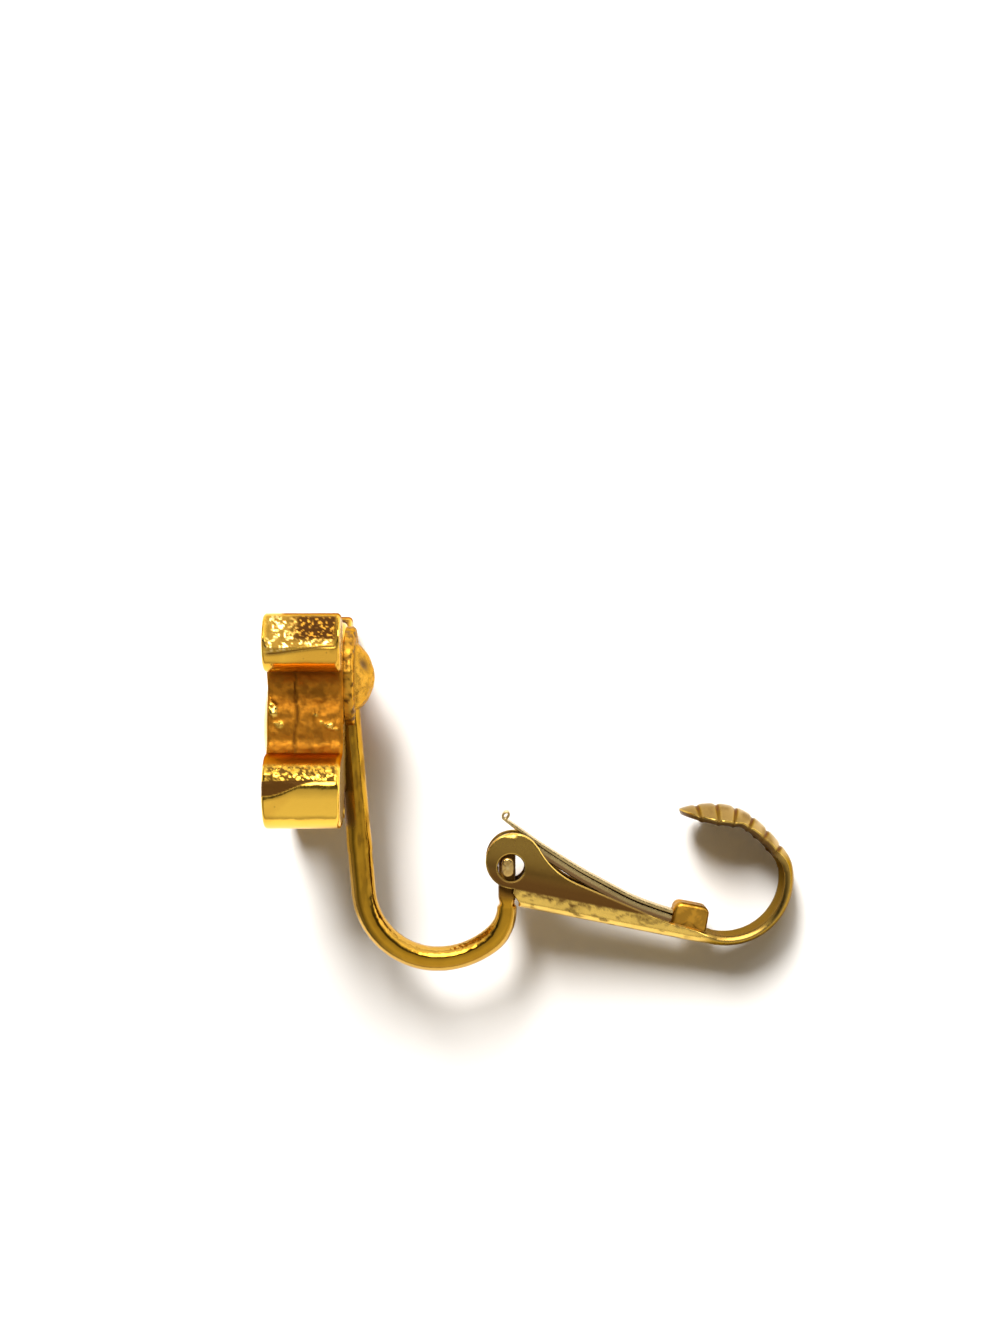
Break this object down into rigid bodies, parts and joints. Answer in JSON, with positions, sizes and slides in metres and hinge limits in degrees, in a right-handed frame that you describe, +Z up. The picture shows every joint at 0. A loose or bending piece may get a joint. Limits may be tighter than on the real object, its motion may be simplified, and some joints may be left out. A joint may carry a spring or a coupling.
{
  "type": "clip on earring",
  "caption": "Gold tone clip on earring with a chunky petalled front, a bent wire arm and a hinged spring lever with a ridged paddle, lying open on its side.",
  "frame": {"origin": "middle of the footprint on the surface that the earring lies on", "axes": "+Z up from that surface; +X from the petalled front towards the curl of the lever; +Y from the bend of the wire arm towards the top of the front. The hinge axis leans 10.6 degrees from +Z towards +X, as the earring lies by itself"},
  "size_m": [0.0322, 0.0216, 0.0141],
  "materials": {
    "polished_gold": "polished gold plate over cast brass",
    "aged_brass": "aged brass with small pits and tarnish",
    "spring_brass": "dull spring brass"
  },
  "bodies": {
    "front": {"front_and_arm": "polished_gold"},
    "lever": {"clip_lever": "aged_brass", "leaf_spring": "spring_brass"}
  },
  "joints": [
    {"name": "lever_hinge", "type": "hinge", "parent": "front", "child": "lever", "pos_m": [-0.00093, -0.00437, 0.00486], "axis": [0.1838, 0, 0.983], "range_deg": [0, 105]}
  ]
}
